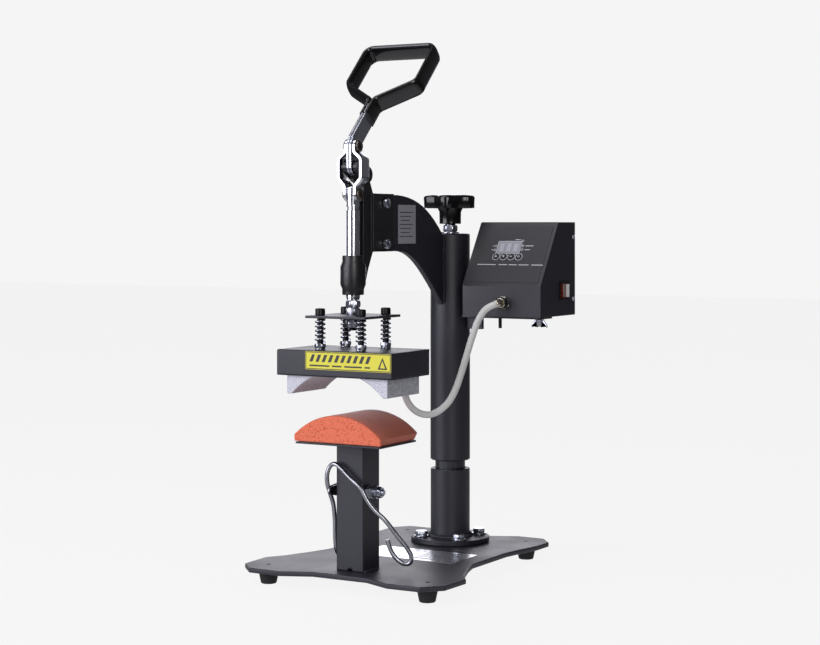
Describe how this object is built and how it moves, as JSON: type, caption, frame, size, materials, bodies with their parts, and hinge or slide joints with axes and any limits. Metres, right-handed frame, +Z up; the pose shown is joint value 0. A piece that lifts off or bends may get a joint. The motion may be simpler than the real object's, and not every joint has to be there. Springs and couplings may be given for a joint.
{
  "type": "tabletop cap heat press",
  "caption": "Swing-away heat press for caps: push-pull toggle handle over a sprung curved platen, padded post, column and control box.",
  "frame": {"origin": "under the middle of the machine's box, on the table", "axes": "+Z up; -Y towards the operator, with the padded post at the front; +X to the control box's side"},
  "size_m": [0.3162, 0.388, 0.7113],
  "materials": {
    "black_powder_coat": "satin powder coat, black",
    "black_casting": "black paint over a rough casting",
    "rubber_foot": "matte black rubber",
    "bright_steel": "bare drawn and turned steel",
    "zinc_plate": "bright zinc plating",
    "chrome_plate": "polished chrome plating",
    "black_oxide_steel": "black oxide socket screw",
    "silicone_sponge": "matte terracotta silicone sponge",
    "bush_bronze": "sintered bronze",
    "dipped_vinyl": "glossy black dipped vinyl",
    "knob_plastic": "glossy black moulded plastic",
    "panel_overlay": "matte printed polyester overlay",
    "circuit_board": "green solder mask",
    "inlet_plastic": "matte black plastic",
    "nickel_gland": "nickel plated brass",
    "key_plastic": "light grey membrane key",
    "rocker_plastic": "red-brown glossy plastic",
    "cast_aluminium": "blasted cast aluminium",
    "braided_sleeve": "woven off-white glass-fibre sleeve"
  },
  "bodies": {
    "base": {"base_plate": "black_powder_coat", "foot_front_left": "rubber_foot", "foot_front_right": "rubber_foot", "foot_rear_left": "rubber_foot", "foot_rear_right": "rubber_foot", "lower_column": "black_powder_coat", "column_spindle": "bright_steel", "flange_bolt_1": "zinc_plate", "flange_bolt_2": "zinc_plate", "flange_bolt_3": "zinc_plate", "flange_bolt_4": "zinc_plate", "support_post": "black_powder_coat", "pad_plate": "black_powder_coat", "lower_pad": "silicone_sponge", "bail_bolt": "zinc_plate", "bail_nut": "zinc_plate"},
    "bail": {"hold_down_bail": "bright_steel"},
    "swing": {"swing_sleeve": "black_powder_coat", "upper_bush": "bush_bronze", "lower_bush": "bush_bronze", "arm_plate": "black_powder_coat", "toggle_bracket": "black_casting", "bracket_screw_upper_right": "zinc_plate", "bracket_screw_upper_left": "zinc_plate", "bracket_screw_lower_right": "zinc_plate", "bracket_screw_lower_left": "zinc_plate", "pivot_pin": "zinc_plate", "box_shell": "black_powder_coat", "box_cover": "black_powder_coat", "control_panel": "panel_overlay", "controller_board": "circuit_board", "power_inlet": "inlet_plastic", "box_gland": "nickel_gland", "box_bracket": "black_powder_coat", "heater_cable": "braided_sleeve"},
    "rocker": {"rocker_switch": "rocker_plastic"},
    "key_up": {"key_up": "key_plastic"},
    "key_down": {"key_down": "key_plastic"},
    "key_set": {"key_set": "key_plastic"},
    "key_mode": {"key_mode": "key_plastic"},
    "knob": {"star_knob": "knob_plastic", "knob_nut": "zinc_plate"},
    "handle": {"handle_bar": "zinc_plate", "handle_grip": "dipped_vinyl", "link_pin": "bright_steel"},
    "links": {"link_left": "chrome_plate", "link_right": "chrome_plate"},
    "ram": {"ram_rod": "chrome_plate", "ram_nut_pair": "zinc_plate", "pressure_plate": "black_powder_coat", "platen_spring_1": "bright_steel", "platen_spring_2": "bright_steel", "platen_spring_3": "bright_steel", "platen_spring_4": "bright_steel"},
    "platen": {"platen_housing": "black_powder_coat", "heater_block": "cast_aluminium", "spring_bolt_1": "black_oxide_steel", "spring_bolt_2": "black_oxide_steel", "spring_bolt_3": "black_oxide_steel", "spring_bolt_4": "black_oxide_steel"}
  },
  "joints": [
    {"name": "head_swing", "type": "hinge", "parent": "base", "child": "swing", "pos_m": [-0.00608, 0.117, 0.3055], "axis": [0, 0, 1], "range_deg": [-90, 90]},
    {"name": "bail_pivot", "type": "hinge", "parent": "base", "child": "bail", "pos_m": [-0.00608, -0.13, 0.1255], "axis": [1, 0, 0], "range_deg": [0, 50], "stiffness_Nm_per_rad": 0.15, "springref_deg": -34.38},
    {"name": "knob_turn", "type": "hinge", "parent": "swing", "child": "knob", "pos_m": [-0.00608, 0.117, 0.5005], "axis": [0, 0, 1], "continuous": true},
    {"name": "handle_pivot", "type": "hinge", "parent": "swing", "child": "handle", "pos_m": [-0.00608, -0.142, 0.5419], "axis": [1, 0, 0], "range_deg": [0, 170]},
    {"name": "link_pivot", "type": "hinge", "parent": "handle", "child": "links", "pos_m": [-0.00608, -0.142, 0.5685], "axis": [1, 0, 0], "range_deg": [-170, 0]},
    {"name": "ram_slide", "type": "slide", "parent": "swing", "child": "ram", "axis": [0, 0, -1], "range_m": [0, 0.053], "deforming": ["heater_cable"]},
    {"name": "platen_float", "type": "slide", "parent": "ram", "child": "platen", "axis": [0, 0, 1], "range_m": [0, 0.005], "stiffness_N_per_m": 24000, "springref_m": -0.002, "deforming": ["platen_spring_1", "platen_spring_2", "platen_spring_3", "platen_spring_4"]},
    {"name": "rocker_tilt", "type": "hinge", "parent": "swing", "child": "rocker", "pos_m": [0.15442, 0.15, 0.377], "axis": [0, 0, 1], "range_deg": [-18, 0]},
    {"name": "key_up_press", "type": "slide", "parent": "swing", "child": "key_up", "axis": [0, 0.8379, -0.5458], "range_m": [0, 0.0006], "stiffness_N_per_m": 300, "springref_m": -0.0005},
    {"name": "key_down_press", "type": "slide", "parent": "swing", "child": "key_down", "axis": [0, 0.8379, -0.5458], "range_m": [0, 0.0006], "stiffness_N_per_m": 300, "springref_m": -0.0005},
    {"name": "key_set_press", "type": "slide", "parent": "swing", "child": "key_set", "axis": [0, 0.8379, -0.5458], "range_m": [0, 0.0006], "stiffness_N_per_m": 300, "springref_m": -0.0005},
    {"name": "key_mode_press", "type": "slide", "parent": "swing", "child": "key_mode", "axis": [0, 0.8379, -0.5458], "range_m": [0, 0.0006], "stiffness_N_per_m": 300, "springref_m": -0.0005}
  ],
  "couplings": [
    {"joint": "link_pivot", "follows": "handle_pivot", "ratio": -0.9747},
    {"joint": "ram_slide", "follows": "handle_pivot", "m_per_rad": 0.0178}
  ]
}
